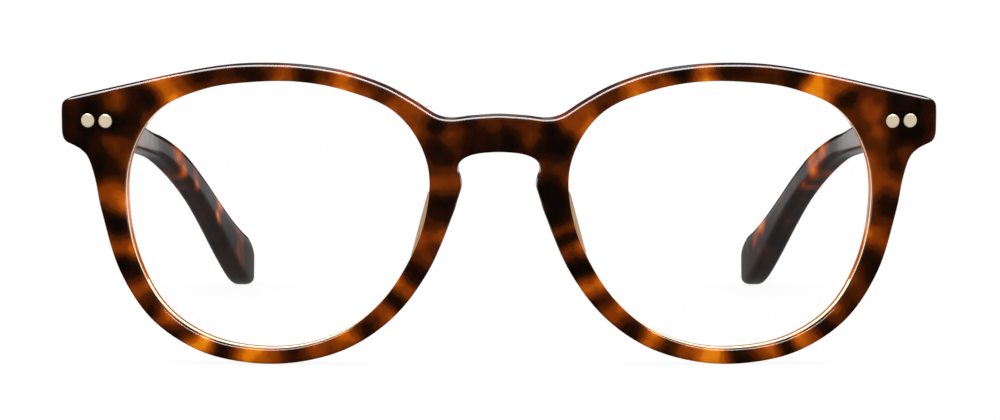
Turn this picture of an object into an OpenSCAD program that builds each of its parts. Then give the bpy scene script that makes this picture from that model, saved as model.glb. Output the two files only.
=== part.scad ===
// Full-rim acetate glasses with a keyhole bridge, riveted five-barrel hinges and paddle temples.
// Millimetres. The wearer faces -Y, so the wearer's left side is +X. Up is +Z.
// The glasses stand open on a table: the rims' bottoms and the temple tips are at z = 0.

/* [Front] */
// Distance between the two lens centres
lens_pitch = 69.8; // [69:0.1:70.6]
// Angle that each rim is turned back around the face
wrap_angle = 4.8; // [4.2:0.1:5.4]
// Thickness of the acetate front
front_t = 4; // [3.8:0.05:4.2]
// Radius of the front's curve over the rims, seen from above
front_curve_r = 450; // [400:10:500]

/* [Lenses] */
// Thickness of a lens at its edge
lens_t = 1.8; // [1.6:0.1:2]
// Radius of the lens's front surface
lens_curve_r = 132; // [120:2:150]
// Depth of the groove that holds the lens
groove_depth = 0.5; // [0.4:0.05:0.6]
// Width of that groove
groove_w = 1; // [0.8:0.1:1.2]

/* [Hinges] */
// Radius of a hinge barrel
barrel_r = 1.25; // [1.1:0.05:1.35]
// Height of the five barrels together
hinge_h = 5; // [4.6:0.1:5.4]
// Radius of the hinge screw's shank
screw_r = 0.65; // [0.6:0.05:0.7]
// Gap all round between the screw and the barrels
screw_gap = 0.03; // [0.02:0.01:0.05]
// Thickness of the hinge plates
plate_t = 0.9; // [0.8:0.05:1]

/* [Rivets] */
// Radius of a rivet's head
rivet_head_r = 1.08; // [1:0.02:1.16]
// Radius of a rivet's shank
rivet_r = 0.6; // [0.5:0.05:0.65]
// Distance between the two rivets of the front
rivet_pitch = 2.9; // [2.8:0.05:3]

/* [Temples] */
// Thickness of a temple at the hinge
temple_t = 3.6; // [3.4:0.1:3.8]
// Thickness of a temple at its tip
tip_t = 4; // [3.6:0.1:4.2]
// Slope of the temple down from the front's own square
temple_drop = 9.5; // [9:0.1:10]
// Slope of the temple in towards the head
temple_lean = 2.5; // [2:0.1:3]

/* [Hidden] */
$fn = 48;

// Small clearances between pieces that are fitted together
fit_gap = 0.02;
butt_gap = 0.05;
// Size that is larger than any piece it cuts, and a short run past a face that is cut
far = 80;
past = 1;

// Outlines of a rim, in the lens's own plane: [outwards, up] from the lens centre
// Radii of the lens opening, every 20 degrees from straight outwards and up over the top
opening_radii = [
    23.75, 24.8, 24.85, 22.85, 21.35, 21.45, 22.75, 25, 25.15,
    23.4, 21.85, 21.25, 21.1, 21.05, 21.4, 22.45, 23.3, 23.35
];
// Top edge from the middle of the bridge to the end piece
top_edge = [
    [-38, 15.95], [-34.6, 15.95], [-30.6, 15.7], [-27.4, 15.35], [-24.9, 15.85], [-21.5, 18],
    [-17, 20.45], [-11, 22.5], [-5, 23.5], [1.5, 23.8], [8, 23.45], [15.5, 22.15], [24, 20.2], [32.8, 18.05]
];
// Rounded end of the end piece, down to its underside
end_edge = [
    [32.8, 18.05], [33.75, 17.6], [34.2, 16.7], [34.25, 14.2], [34.15, 12.2], [33.6, 11.15], [32.5, 10.65]
];
// Rim from under the end piece, round the bottom and up to the nose
under_edge = [[32.5, 10.65], [31, 9.85], [29.85, 8.5], [28.8, 5.2]];
rim_radii = [27.75, 26.57, 25.97, 24.9, 23.77, 23.42, 23.75, 24.32, 25.3];
rim_step = 20;
nose_edge = [[-27.45, 0], [-28.15, 2.1], [-28.75, 3.9]];
// Keyhole, from its corner up to the underside of the bridge
keyhole_edge = [
    [-28.75, 3.9], [-28.98, 4.9], [-28.8, 6], [-28.4, 7.2], [-28.6, 8.4],
    [-29.7, 9.35], [-31.6, 9.95], [-34.6, 10.2], [-38, 10.2]
];
curve_steps = 4;
opening_step = 4;

// Where the end pieces begin to turn back, and how tightly
end_turn_x = 54;
end_turn_r = 75;
plan_step = 2;
plan_half_w = 70;

// Rivets and hinge on the end piece, measured from the front's centre, and its flat seat's reach inwards
hinge_x = 63.1;
hinge_z = 14.6;
seat_reach = 4.4;
seat_x = hinge_x - seat_reach;
// Hinge axis from the middle of the two rivets: outwards, and back from the front surface
axis_out = 3.3;
axis_back = front_t + 1.65;
barrel_count = 5;
barrel_pitch = hinge_h / barrel_count;
barrel_gap = 0.05;
web_half_t = 0.7;
front_plate_from = -3.2;
front_plate_to = 4.3;
plate_half_h = 2.5;

// Nose pad: places [outwards, back, up] and radii of the four balls that it wraps
pad_balls = [[8.5, 4.4, 3.4, 1.7], [12.6, 4.4, -7.4, 1.4], [9.9, 7.4, 2.2, 1.5], [12, 7.4, -6.6, 1.35]];

// Lens: gap in its groove, reach of its ridge into the lens, and rise of its middle over its edge
lens_gap = 0.05;
ridge_reach = 1.5;
lens_rise = 1.62;

// Rivets: head, how far it stands proud, ring around it, and tail
rivet_head_t = 0.7;
rivet_proud = 0.05;
rivet_ring_gap = 0.1;
tail_r = 0.85;
tail_t = 0.35;
// Head and slot of the hinge screw
screw_head_r = 1.05;
screw_head_t = 0.6;
slot_w = 0.3;
slot_depth = 0.3;

// Temple stations: [along, across, up, half height], from the hinge axis
temple_mid = 1.4;
temple_line = [
    [-3, temple_mid, -0.25, 3.05], [30, temple_mid, -0.12, 2.88], [60, temple_mid, -0.4, 2.4],
    [80, 1, -0.9, 2], [88, -0.5, -1.7, 2.05], [96, -3.05, -4.4, 2.4], [104, -5.4, -8.25, 2.55],
    [112, -7.3, -12.4, 2.95], [120, -9.15, -16.2, 4.1], [126, -10.4, -18.7, 4.95], [130, -10.9, -20.2, 4.85],
    [133, -11.2, -21.25, 3.95], [135.3, -11.45, -22.25, 2.55], [136.5, -11.6, -23.1, 0]
];
temple_steps = 3;
temple_len = 136.5;
tongue_from = 1.55;
notch_back = 1.75;
temple_plate_from = 1.9;
temple_plate_to = 12;
temple_plate_half_h = 2;
temple_rivets = [5, 9];
core_half = 0.6;
core_from = 13;
core_to = 126;

// Standing on a table: the front leans, and its centre is raised and moved forward
stand_lean = 3.66;
stand_up = 23.387;
stand_forward = 71.09;

// Curve through a list of points or rows, with each gap cut into steps
function curve_at(p, i, t) =
    let (a = p[max(i - 1, 0)], b = p[i], c = p[i + 1], d = p[min(i + 2, len(p) - 1)])
    0.5 * (2 * b + (c - a) * t + (2 * a - 5 * b + 4 * c - d) * t * t + (3 * b - a - 3 * c + d) * t * t * t);
function curve(p, steps) = [for (i = [0 : len(p) - 2]) for (k = [0 : steps - 1]) curve_at(p, i, k / steps)];

// Radius of a closed outline at an angle, between radii at equal angles
function ring_at(r, i, t) =
    let (n = len(r), a = r[(i + n - 1) % n], b = r[i % n], c = r[(i + 1) % n], d = r[(i + 2) % n])
    0.5 * (2 * b + (c - a) * t + (2 * a - 5 * b + 4 * c - d) * t * t + (3 * b - a - 3 * c + d) * t * t * t);
function ring_radius(r, angle) =
    let (s = angle / 360 * len(r), i = floor(s))
    ring_at(r, i, s - i);
function opening(grow) = [
    for (a = [0 : opening_step : 360 - opening_step])
        (ring_radius(opening_radii, a) + grow) * [cos(a), sin(a)]
];

rim_edge = concat(
    under_edge,
    [for (i = [0 : len(rim_radii) - 1]) rim_radii[i] * [cos(i * rim_step), -sin(i * rim_step)]],
    nose_edge
);
half_outline = concat(
    curve(top_edge, curve_steps), curve(end_edge, curve_steps),
    curve(rim_edge, curve_steps), curve(keyhole_edge, curve_steps), [keyhole_edge[len(keyhole_edge) - 1]]
);

// How far the front surface lies behind the bridge, and its slope there
function set_back(x) =
    let (e = max(0, abs(x) - end_turn_x))
    x * x / (2 * front_curve_r) + e * e / (2 * end_turn_r);
function set_back_slope(x) = x / front_curve_r + max(0, x - end_turn_x) / end_turn_r;
end_angle = atan(set_back_slope(hinge_x));
// Back of the front: parallel over the rims, one flat seat on each end piece
function seat_y(x) =
    set_back(hinge_x) + front_t * cos(end_angle) + (x - hinge_x + front_t * sin(end_angle)) * tan(end_angle);
function back_y(x) = abs(x) < seat_x ? set_back(x) + front_t : seat_y(abs(x));

axis_at = [
    hinge_x + axis_out * cos(end_angle) - axis_back * sin(end_angle),
    set_back(hinge_x) + axis_out * sin(end_angle) + axis_back * cos(end_angle),
    hinge_z
];

// Frames of reference
module stand() {
    translate([0, -stand_forward, stand_up]) rotate([stand_lean, 0, 0]) children();
}
module left_side() {
    stand() children();
}
module right_side() {
    stand() mirror([1, 0, 0]) children();
}
module at_lens() {
    translate([lens_pitch / 2, set_back(lens_pitch / 2), 0]) rotate([0, 0, wrap_angle]) children();
}
module at_end_piece() {
    translate([hinge_x, set_back(hinge_x), hinge_z]) rotate([0, 0, end_angle]) children();
}
module at_axis() {
    translate(axis_at) children();
}
module at_temple() {
    at_axis() rotate([0, 0, temple_lean]) rotate([-temple_drop, 0, 0]) children();
}

// Outline in the lens's plane, extruded through the front
module through_front(points) {
    rotate([90, 0, 0]) linear_extrude(height = far / 2, center = true) polygon(points);
}
// Layer of the front between two depths behind its front surface
module front_layer(from, to) {
    xs = [for (x = [-plan_half_w : plan_step : plan_half_w]) x];
    rear = [for (x = [plan_half_w : -plan_step : -plan_half_w]) [x, set_back(x) + to]];
    linear_extrude(height = far, center = true)
        polygon(concat([for (x = xs) [x, set_back(x) + from]], rear));
}
module front_body() {
    all_x = [for (x = [-plan_half_w : plan_step : plan_half_w]) x];
    xs = concat(
        [for (x = all_x) if (x < -seat_x) x], [-seat_x],
        [for (x = all_x) if (abs(x) < seat_x) x], [seat_x],
        [for (x = all_x) if (x > seat_x) x]
    );
    last = len(xs) - 1;
    rear = [for (i = [0 : last]) [xs[last - i], back_y(xs[last - i])]];
    linear_extrude(height = far, center = true)
        polygon(concat([for (x = xs) [x, set_back(x)]], rear));
}
module half_front() {
    intersection() {
        at_lens() through_front(half_outline);
        translate([0, -far / 2, -far / 2]) cube(far);
    }
}
module both_sides() {
    children();
    mirror([1, 0, 0]) children();
}

// Holes for the rivets and the seat of the hinge plate in an end piece
module end_piece_cuts() {
    at_end_piece() {
        for (s = [-1, 1]) translate([s * rivet_pitch / 2, 0, 0]) rotate([-90, 0, 0]) {
            cylinder(r = rivet_r + fit_gap, h = front_t);
            translate([0, 0, -front_t])
                cylinder(r = rivet_head_r + rivet_ring_gap, h = front_t + rivet_head_t);
        }
        translate([front_plate_from - fit_gap, front_t - plate_t - fit_gap, -plate_half_h - fit_gap])
            cube([front_plate_to - front_plate_from + 2 * fit_gap, front_t, 2 * (plate_half_h + fit_gap)]);
    }
}

module front_frame() {
    color("saddlebrown")
    stand() difference() {
        intersection() {
            front_body();
            both_sides() half_front();
        }
        both_sides() at_lens() through_front(opening(0));
        intersection() {
            front_layer(front_t / 2 - groove_w / 2, front_t / 2 + groove_w / 2);
            both_sides() at_lens() through_front(opening(groove_depth));
        }
        both_sides() end_piece_cuts();
    }
}

// Lens: a round-surfaced shell cut to the opening, with a ridge that sits in the groove
module lens() {
    apex = front_t / 2 - lens_t / 2 - lens_rise;
    color("lightcyan") {
        intersection() {
            at_lens() through_front(opening(-lens_gap));
            at_lens() translate([0, apex + lens_curve_r, 0]) difference() {
                sphere(r = lens_curve_r, $fn = 180);
                sphere(r = lens_curve_r - lens_t, $fn = 180);
            }
        }
        intersection() {
            front_layer(front_t / 2 - groove_w / 2 + lens_gap, front_t / 2 + groove_w / 2 - lens_gap);
            at_lens() difference() {
                through_front(opening(groove_depth - lens_gap));
                through_front(opening(-ridge_reach));
            }
        }
    }
}

// Nose pad: a soft-edged wing bonded to the back of the rim beside the nose
module nose_pad() {
    color("wheat") difference() {
        hull() for (b = pad_balls) translate([b[0], b[1], b[2]]) sphere(r = b[3], $fn = 28);
        front_layer(-far / 8, front_t);
    }
}

// Rivet: flat head, shank, and a tail spread in the plate's countersink
module rivet(length) {
    color("wheat") rotate([-90, 0, 0]) {
        translate([0, 0, -rivet_proud]) cylinder(r = rivet_head_r, h = rivet_head_t + rivet_proud - fit_gap);
        cylinder(r = rivet_r, h = length);
        translate([0, 0, length - tail_t + fit_gap]) cylinder(r = tail_r - fit_gap, h = tail_t - fit_gap);
    }
}
module front_rivet(side) {
    at_end_piece() translate([side * rivet_pitch / 2, 0, 0]) rivet(front_t);
}

// Hinge halves: odd barrels belong to the front, even ones to the temple
module barrels(first) {
    for (i = [first : 2 : barrel_count - 1])
        translate([0, 0, -hinge_h / 2 + i * barrel_pitch + barrel_gap / 2])
            cylinder(r = barrel_r, h = barrel_pitch - barrel_gap);
}
module screw_bore() {
    translate([0, 0, -hinge_h]) cylinder(r = screw_r + screw_gap, h = 2 * hinge_h);
}
module front_hinge() {
    color("silver") difference() {
        union() {
            at_end_piece() {
                translate([front_plate_from, front_t - plate_t, -plate_half_h])
                    cube([front_plate_to - front_plate_from, plate_t, 2 * plate_half_h]);
                for (i = [0 : 2 : barrel_count - 1])
                    translate([
                        axis_out - web_half_t, front_t - plate_t / 2,
                        -hinge_h / 2 + i * barrel_pitch + barrel_gap / 2
                    ]) cube([2 * web_half_t, axis_back - front_t + plate_t / 2, barrel_pitch - barrel_gap]);
            }
            at_axis() barrels(0);
        }
        at_axis() screw_bore();
        at_end_piece() for (s = [-1, 1]) translate([s * rivet_pitch / 2, 0, 0]) rotate([-90, 0, 0]) {
            cylinder(r = rivet_r + fit_gap, h = front_t + past);
            translate([0, 0, front_t - tail_t]) cylinder(r = tail_r, h = tail_t + past);
        }
    }
}
module hinge_screw() {
    color("gainsboro") at_axis() difference() {
        union() {
            translate([0, 0, -hinge_h / 2]) cylinder(r = screw_r, h = hinge_h);
            translate([0, 0, hinge_h / 2]) cylinder(r = screw_head_r, h = screw_head_t);
        }
        translate([-far / 2, -slot_w / 2, hinge_h / 2 + screw_head_t - slot_depth]) cube([far, slot_w, far]);
    }
}
module temple_plate(gap) {
    long = temple_plate_to - temple_plate_from + 2 * gap;
    translate([temple_mid - temple_t / 2 - gap, temple_plate_from - gap, -temple_plate_half_h - gap])
        cube([plate_t + 2 * gap, long, 2 * (temple_plate_half_h + gap)]);
}
module temple_web(height, gap) {
    translate([temple_mid - temple_t / 2 - gap, 0, -gap])
        cube([plate_t + 2 * gap, temple_plate_from + past + gap, height + 2 * gap]);
}
module temple_hinge() {
    color("silver") difference() {
        union() {
            at_temple() temple_plate(0);
            at_axis() barrels(1);
            at_axis() rotate([0, 0, temple_lean]) for (i = [1 : 2 : barrel_count - 1])
                translate([0, 0, -hinge_h / 2 + i * barrel_pitch + barrel_gap / 2])
                    temple_web(barrel_pitch - barrel_gap, 0);
        }
        at_axis() screw_bore();
        at_temple() for (y = temple_rivets) translate([temple_mid - temple_t / 2, y, 0]) rotate([0, 90, 0]) {
            translate([0, 0, -past]) cylinder(r = rivet_r + fit_gap, h = temple_t);
            translate([0, 0, -past]) cylinder(r = tail_r, h = tail_t + past);
        }
    }
}

// Temple: the shape seen from the side, met by the band seen from above.
// A band with no half size of its own takes each row's height, or the temple's thickness there.
temple_curve = curve(temple_line, temple_steps);
function temple_half_t(y) = (temple_t + (tip_t - temple_t) * max(0, y) / temple_len) / 2;
module side_band(rows, half) {
    n = len(rows);
    rotate([90, 0, 90]) linear_extrude(height = far, center = true) polygon(concat(
        [for (r = rows) [r[0], r[2] + (half == 0 ? r[3] : half)]],
        [for (i = [1 : n]) [rows[n - i][0], rows[n - i][2] - (half == 0 ? rows[n - i][3] : half)]]
    ));
}
module plan_band(rows, half) {
    n = len(rows);
    linear_extrude(height = 2 * far, center = true) polygon(concat(
        [for (r = rows) [r[1] + (half == 0 ? temple_half_t(r[0]) : half), r[0]]],
        [for (i = [1 : n]) let (r = rows[n - i]) [r[1] - (half == 0 ? temple_half_t(r[0]) : half), r[0]]]
    ));
}
module core(gap) {
    rows = [for (r = temple_curve) if (r[0] >= core_from && r[0] <= core_to) r];
    at_temple() intersection() {
        side_band(rows, core_half + gap);
        plan_band(rows, core_half + gap);
        translate([-far, core_from - gap, -far]) cube([2 * far, core_to - core_from + 2 * gap, 2 * far]);
    }
}
module temple() {
    rows = concat(temple_curve, [temple_line[len(temple_line) - 1]]);
    color("sienna") difference() {
        at_temple() intersection() {
            side_band(rows, 0);
            plan_band(rows, 0);
        }
        at_end_piece() translate([-far / 2, front_t + butt_gap - far, -far / 2]) cube(far);
        at_axis() rotate([0, 0, temple_lean])
            translate([-far + tongue_from, -far + notch_back, -far / 2]) cube(far);
        at_temple() temple_plate(fit_gap);
        at_axis() rotate([0, 0, temple_lean])
            translate([0, 0, -hinge_h / 2]) temple_web(hinge_h, fit_gap);
        at_temple() for (y = temple_rivets) translate([temple_mid - temple_t / 2, y, 0]) rotate([0, 90, 0]) {
            cylinder(r = rivet_r + fit_gap, h = temple_t);
            translate([0, 0, temple_t - rivet_head_t - fit_gap])
                cylinder(r = rivet_head_r + rivet_ring_gap, h = temple_t);
        }
        core(fit_gap);
    }
}
module temple_core() {
    color("silver") core(0);
}
module temple_rivet(y) {
    at_temple() translate([temple_mid + temple_half_t(y), y, 0]) rotate([0, 0, 90])
        rivet(temple_half_t(y) + temple_t / 2);
}

front_frame();
left_side() lens();  // lens_left
right_side() lens();  // lens_right
left_side() nose_pad();  // nose_pad_left
right_side() nose_pad();  // nose_pad_right
left_side() front_rivet(-1);  // front_rivet_inner_left
left_side() front_rivet(1);  // front_rivet_outer_left
right_side() front_rivet(-1);  // front_rivet_inner_right
right_side() front_rivet(1);  // front_rivet_outer_right
left_side() front_hinge();  // front_hinge_left
right_side() front_hinge();  // front_hinge_right
left_side() hinge_screw();  // hinge_screw_left
right_side() hinge_screw();  // hinge_screw_right
left_side() temple_hinge();  // temple_hinge_left
right_side() temple_hinge();  // temple_hinge_right
left_side() temple();  // temple_left
right_side() temple();  // temple_right
left_side() temple_core();  // temple_core_left
right_side() temple_core();  // temple_core_right
left_side() temple_rivet(temple_rivets[0]);  // temple_rivet_front_left
left_side() temple_rivet(temple_rivets[1]);  // temple_rivet_rear_left
right_side() temple_rivet(temple_rivets[0]);  // temple_rivet_front_right
right_side() temple_rivet(temple_rivets[1]);  // temple_rivet_rear_right
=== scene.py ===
import bpy
import bmesh
import math
from mathutils import Matrix, Vector, noise
from mathutils.geometry import delaunay_2d_cdt
from mathutils.kdtree import KDTree


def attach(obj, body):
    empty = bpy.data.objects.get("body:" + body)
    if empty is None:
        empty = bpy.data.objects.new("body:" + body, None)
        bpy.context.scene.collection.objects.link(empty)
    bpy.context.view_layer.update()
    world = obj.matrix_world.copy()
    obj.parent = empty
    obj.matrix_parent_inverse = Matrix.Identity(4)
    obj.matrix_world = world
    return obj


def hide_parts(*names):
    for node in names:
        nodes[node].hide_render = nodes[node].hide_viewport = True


# Acetate glasses with a keyhole bridge. The shapes are worked out in millimetres, square to the front,
# then stood on the table and turned into metres. x is outwards, y back from the bridge, z up.

mm = 0.001
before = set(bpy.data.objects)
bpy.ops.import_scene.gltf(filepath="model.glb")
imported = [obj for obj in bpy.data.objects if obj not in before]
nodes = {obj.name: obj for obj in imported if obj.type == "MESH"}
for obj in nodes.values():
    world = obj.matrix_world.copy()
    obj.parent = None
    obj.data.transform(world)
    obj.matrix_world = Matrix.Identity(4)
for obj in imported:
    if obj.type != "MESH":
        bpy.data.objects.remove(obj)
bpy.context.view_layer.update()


# How the glasses stand: lean of the front, height of its centre, and how far forward it sits
stand = {"lean": 3.66, "up": 23.387, "forward": 71.09}


def turnX(degrees):
    return Matrix.Rotation(math.radians(degrees), 4, "X")


def turnZ(degrees):
    return Matrix.Rotation(math.radians(degrees), 4, "Z")


toTable = Matrix.Translation((0, -stand["forward"], stand["up"])) @ turnX(stand["lean"])
toTable = Matrix.Scale(mm, 4) @ toTable


def onSide(side, matrix=Matrix.Identity(4)):      # side is 1 for the wearer's left, -1 for the right
    return toTable @ Matrix.Scale(side, 4, (1, 0, 0)) @ matrix


# The front's sizes and edges, as the solids have them. The walls' own lean is added here
front = {
    "lensPitch": 69.8, "wrap": 4.8, "thick": 4.0, "curveR": 450.0, "endTurnX": 54.0, "endTurnR": 75.0,
    "squareTo": 9, "outerLean": 0.05, "leanFrom": 30, "leanTo": 54,
    "groove": 0.5, "grooveWide": 1.0, "hingeX": 63.1, "hingeZ": 14.6, "seatReach": 4.4,
    "roundFront": 0.62, "roundBack": 0.75, "openFront": 0.3, "openBack": 0.4,
    "wallSteps": (0.3, 0.5, 0.7), "wallFacing": 0.35, "wallMargin": 0.1, "wallNear": 0.75,
    "arcSteps": 7, "openSamples": 360, "curveSteps": 8, "middleSteps": 12, "frontXRounds": 6,
    "edgeSpacing": 0.42, "gridSpacing": 0.7, "gridMargin": 1.15, "sharpAbove": 40,
}
# Radii of the opening and of the rim, every 20 degrees. The other edges are (out, up) from a lens's centre
openingRadii = [23.75, 24.8, 24.85, 22.85, 21.35, 21.45, 22.75, 25, 25.15,
                23.4, 21.85, 21.25, 21.1, 21.05, 21.4, 22.45, 23.3, 23.35]
topEdge = [(-38, 15.95), (-34.6, 15.95), (-30.6, 15.7), (-27.4, 15.35), (-24.9, 15.85), (-21.5, 18),
           (-17, 20.45), (-11, 22.5), (-5, 23.5), (1.5, 23.8), (8, 23.45), (15.5, 22.15), (24, 20.2),
           (32.8, 18.05)]
endEdge = [(32.8, 18.05), (33.75, 17.6), (34.2, 16.7), (34.25, 14.2), (34.15, 12.2), (33.6, 11.15),
           (32.5, 10.65)]
underEdge = [(32.5, 10.65), (31, 9.85), (29.85, 8.5), (28.8, 5.2)]
rimRadii = [27.75, 26.57, 25.97, 24.9, 23.77, 23.42, 23.75, 24.32, 25.3]
rimStep = 20
noseEdge = [(-27.45, 0), (-28.15, 2.1), (-28.75, 3.9)]
keyholeEdge = [(-28.75, 3.9), (-28.98, 4.9), (-28.8, 6), (-28.4, 7.2), (-28.6, 8.4),
               (-29.7, 9.35), (-31.6, 9.95), (-34.6, 10.2), (-38, 10.2)]


def spline(a, b, c, d, t):      # from b to c, on a curve that also runs through a and d
    bend = (2 * a - 5 * b + 4 * c - d) * t * t
    return 0.5 * (2 * b + (c - a) * t + bend + (3 * b - a - 3 * c + d) * t ** 3)


def curve(points, steps):
    points = [Vector(p) for p in points]
    last = len(points) - 1
    out = []
    for i in range(last):
        row = [points[max(i - 1, 0)], points[i], points[i + 1], points[min(i + 2, last)]]
        out += [spline(*row, k / steps) for k in range(steps)]
    return out + [points[last]]


def ringRadius(angle):
    place = (angle % 360) / 360 * len(openingRadii)
    i = int(place)
    row = [openingRadii[(i + k) % len(openingRadii)] for k in (-1, 0, 1, 2)]
    return spline(*row, place - i)


def setBack(x):      # how far the front's surface has curved back at x
    e = max(0, abs(x) - front["endTurnX"])
    return x * x / (2 * front["curveR"]) + e * e / (2 * front["endTurnR"])


endSlope = front["hingeX"] / front["curveR"] + (front["hingeX"] - front["endTurnX"]) / front["endTurnR"]
endAngle = math.atan(endSlope)


def thickness(x):      # the end piece has a flat back, for the hinge
    seatFrom = front["hingeX"] - front["seatReach"]
    if abs(x) < seatFrom:
        return front["thick"]
    level = setBack(front["hingeX"]) + front["thick"] * math.cos(endAngle)
    along = abs(x) - front["hingeX"] + front["thick"] * math.sin(endAngle)
    return level + along * math.tan(endAngle) - setBack(x)


wrap = math.radians(front["wrap"])
lensX = front["lensPitch"] / 2
lensCentre = Vector((lensX, 0))


def smooth(low, high, v):
    t = min(1, max(0, (v - low) / (high - low)))
    return t * t * (3 - 2 * t)


def frontX(u):      # x on the front's surface of a point that lies u out from the lens's centre
    x = lensX + u * math.cos(wrap)
    for _ in range(front["frontXRounds"]):
        w = (setBack(x) - setBack(lensX) - u * math.sin(wrap)) / math.cos(wrap)
        x = lensX + u * math.cos(wrap) - w * math.sin(wrap)
    return x


def outerLean(x):      # the walls lean in a little more towards the temples
    return front["outerLean"] * smooth(front["leanFrom"], front["leanTo"], x)


def placeOnFront(x, v, depth):      # depth runs back from the front surface, square to the lens
    lean = math.tan(wrap) * smooth(0, front["squareTo"], x) + outerLean(x)
    xd = x - depth * lean
    return Vector((xd, setBack(xd) + depth, v))


print("front: outline")


def resample(points, spacing):
    lengths = [0.0]
    for a, b in zip(points, points[1:]):
        lengths.append(lengths[-1] + (b - a).length)
    count = max(2, round(lengths[-1] / spacing))
    out, i = [], 0
    for k in range(count + 1):
        target = lengths[-1] * k / count
        while i < len(points) - 2 and lengths[i + 1] < target:
            i += 1
        span = lengths[i + 1] - lengths[i]
        t = (target - lengths[i]) / span if span else 0
        out.append(points[i].lerp(points[i + 1], min(1, t)))
    return out


def normals(points, closed):
    out = []
    n = len(points)
    for i in range(n):
        a = points[i - 1] if (closed or i > 0) else points[0]
        b = points[(i + 1) % n] if (closed or i < n - 1) else points[-1]
        t = (b - a).normalized()
        out.append(Vector((t.y, -t.x)))
    return out


# Half of the outer edge on the front surface, from the middle of the bridge over the top and back to it
rimEdge = underEdge + [(r * math.cos(math.radians(i * rimStep)), -r * math.sin(math.radians(i * rimStep)))
                       for i, r in enumerate(rimRadii)] + noseEdge
outerUV = [p for edge in (topEdge, endEdge, rimEdge) for p in curve(edge, front["curveSteps"])[:-1]]
outerUV += curve(keyholeEdge, front["curveSteps"])
outer = [Vector((frontX(p.x), p.y)) for p in outerUV]


def clipAtMiddle(points):
    inside = [i for i, p in enumerate(points) if p.x > 0]
    first, last = inside[0], inside[-1]
    kept = points[first:last + 1]
    return [Vector((0, points[first].y))] + kept + [Vector((0, points[last].y))]


outer = resample(clipAtMiddle(outer), front["edgeSpacing"])
outerIn = normals(outer, False)
third = len(outer) // 3
if outerIn[third].dot(outer[third] - lensCentre) > 0:      # they have to point into the acetate
    outerIn = [-n for n in outerIn]
outerIn[0], outerIn[-1] = Vector((0, -1)), Vector((0, 1))

opening = []
for k in range(front["openSamples"]):
    a = 360 * k / front["openSamples"]
    r = ringRadius(a)
    opening.append(Vector((frontX(r * math.cos(math.radians(a))), r * math.sin(math.radians(a)))))
openOut = [-n if n.dot(p - lensCentre) < 0 else n for n, p in zip(normals(opening, True), opening)]


def newMesh(name, verts, faces):
    mesh = bpy.data.meshes.new(name)
    mesh.from_pydata([tuple(v) for v in verts], [], faces)
    obj = bpy.data.objects.new(name, mesh)
    bpy.context.scene.collection.objects.link(obj)
    return obj


def cleanUp(obj, mergeAt):
    bm = bmesh.new()
    bm.from_mesh(obj.data)
    bmesh.ops.remove_doubles(bm, verts=bm.verts, dist=mergeAt)
    bmesh.ops.dissolve_degenerate(bm, edges=bm.edges, dist=1e-8)
    bmesh.ops.recalc_face_normals(bm, faces=bm.faces)
    bm.to_mesh(obj.data)
    bm.free()
    return obj


def smoothByAngle(obj, degrees):
    for p in obj.data.polygons:
        p.use_smooth = True
    obj.data.set_sharp_from_angle(angle=math.radians(degrees))


def settle(obj):      # makes a plain mesh of what the modifiers give, and takes them off
    bpy.context.view_layer.update()
    evaluated = obj.evaluated_get(bpy.context.evaluated_depsgraph_get())
    mesh = bpy.data.meshes.new_from_object(evaluated)
    obj.modifiers.clear()
    obj.data = mesh
    mesh.name = obj.name
    return obj


def carve(obj, cutters):
    for cutter in cutters:
        mod = obj.modifiers.new("carve", "BOOLEAN")
        mod.operation = "DIFFERENCE"
        mod.solver = "EXACT"
        mod.object = cutter
    settle(obj)
    for cutter in cutters:
        bpy.data.objects.remove(cutter)


def boxCutter(low, high, matrix):
    corners = [(x, y, z) for x in (low[0], high[0]) for y in (low[1], high[1]) for z in (low[2], high[2])]
    faces = [(0, 1, 3, 2), (4, 6, 7, 5), (0, 4, 5, 1), (2, 3, 7, 6), (0, 2, 6, 4), (1, 5, 7, 3)]
    return cleanUp(newMesh("cutter", [matrix @ Vector(c) for c in corners], faces), 1e-9)


def drillCutter(radius, depth, matrix):      # a round cutter along Y, from well outside down to depth
    verts, faces = [], []
    sides = rivet["sides"]
    for y in (-rivet["clearOf"], depth):
        verts += [matrix @ Vector((radius * math.cos(2 * math.pi * k / sides), y,
                                   radius * math.sin(2 * math.pi * k / sides))) for k in range(sides)]
    for k in range(sides):
        j = (k + 1) % sides
        faces.append((k, j, sides + j, sides + k))
    faces += [tuple(range(sides)), tuple(range(sides, 2 * sides))]
    return cleanUp(newMesh("cutter", verts, faces), 1e-9)


class Strips:      # collects rows of points and joins neighbours with quads
    def __init__(self):
        self.verts, self.faces = [], []

    def row(self, points):
        start = len(self.verts)
        self.verts += points
        return list(range(start, start + len(points)))

    def join(self, a, b, closed=True):
        n = len(a)
        for i in range(n if closed else n - 1):
            j = (i + 1) % n
            self.faces.append((a[i], a[j], b[j], b[i]))

    def close(self, loop, point):
        tip = self.row([point])[0]
        for i in range(len(loop)):
            self.faces.append((loop[i], loop[(i + 1) % len(loop)], tip))


def roundOver(radius):      # inset and depth along a quarter round, from the face to the wall
    turns = [math.pi / 2 * k / front["arcSteps"] for k in range(front["arcSteps"] + 1)]
    return [(radius * (1 - math.sin(t)), radius * (1 - math.cos(t))) for t in turns]


def sweepEdge(strips, path, inward, profile, closed):
    rows = []
    for inset, depthAt in profile:
        points = [p + n * inset for p, n in zip(path, inward)]
        flat = [Vector((p.x if closed else max(p.x, 0), p.y)) for p in points]
        made = strips.row([placeOnFront(p.x, p.y, depthAt(thickness(p.x))) for p in flat])
        rows.append((made, flat))
    for a, b in zip(rows, rows[1:]):
        strips.join(a[0], b[0], closed)
    return rows[0], rows[-1]


def fromFront(depth):
    return lambda thick: depth


def fromBack(depth):
    return lambda thick: thick - depth


def share(part):
    return lambda thick: thick * part


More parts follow.
